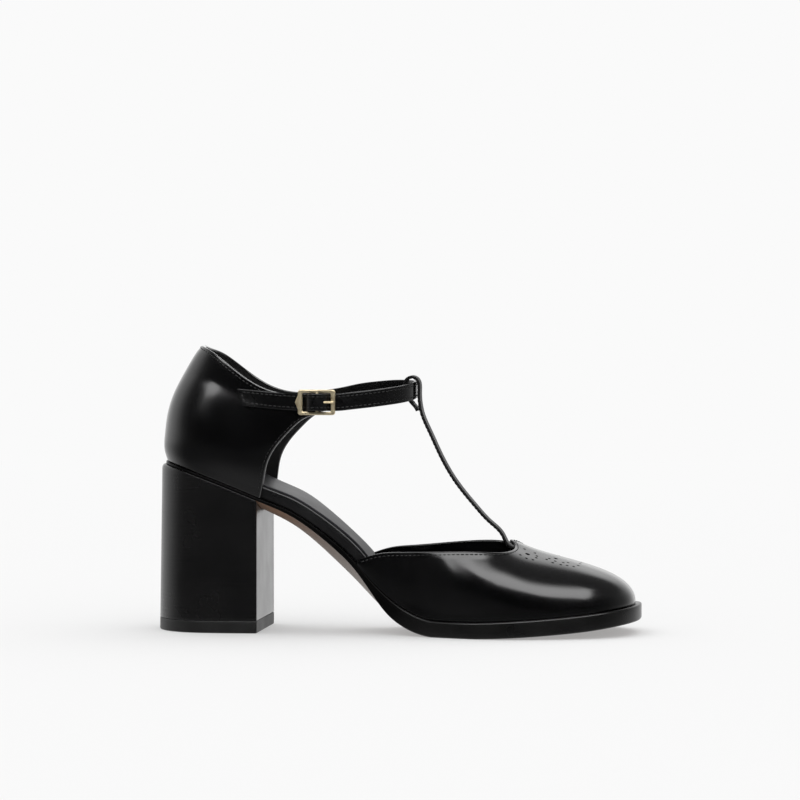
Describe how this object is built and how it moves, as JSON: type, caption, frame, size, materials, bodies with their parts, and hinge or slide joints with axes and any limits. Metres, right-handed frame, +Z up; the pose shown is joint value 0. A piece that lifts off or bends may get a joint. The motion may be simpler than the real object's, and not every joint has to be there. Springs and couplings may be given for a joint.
{
  "type": "high heel mary jane shoe",
  "caption": "Women's high heel mary jane, right foot: closed toe and heel, open waist, ankle strap with buckle held by a slim T strap, stacked heel.",
  "frame": {"origin": "middle of the shoe's bounding box, on the floor it stands on", "axes": "+X to the toe, +Y to the inner side of the foot, +Z up"},
  "size_m": [0.234, 0.081, 0.1384],
  "materials": {
    "sole_leather": "waxed black edge over a tan crowned waist",
    "heel_leather": "burnished black stacked leather with faint layer lines",
    "lift_rubber": "matt black",
    "board_leather": "black leather covered edge",
    "sock_leather": "glossy black lining leather",
    "upper_leather": "glossy brushed calf with soft creases and perforated toe",
    "strap_leather": "satin black, stitched along both edges",
    "pale_gold": "polished pale gold plating"
  },
  "bodies": {
    "root": {"outsole": "sole_leather", "heel_block": "heel_leather", "top_lift": "lift_rubber", "insole_board": "board_leather", "sock_lining": "sock_leather", "vamp": "upper_leather", "heel_quarter": "upper_leather", "ankle_strap": "strap_leather", "t_strap": "strap_leather", "buckle_frame": "pale_gold", "buckle_prong": "pale_gold", "buckle_tab": "strap_leather"}
  },
  "joints": []
}
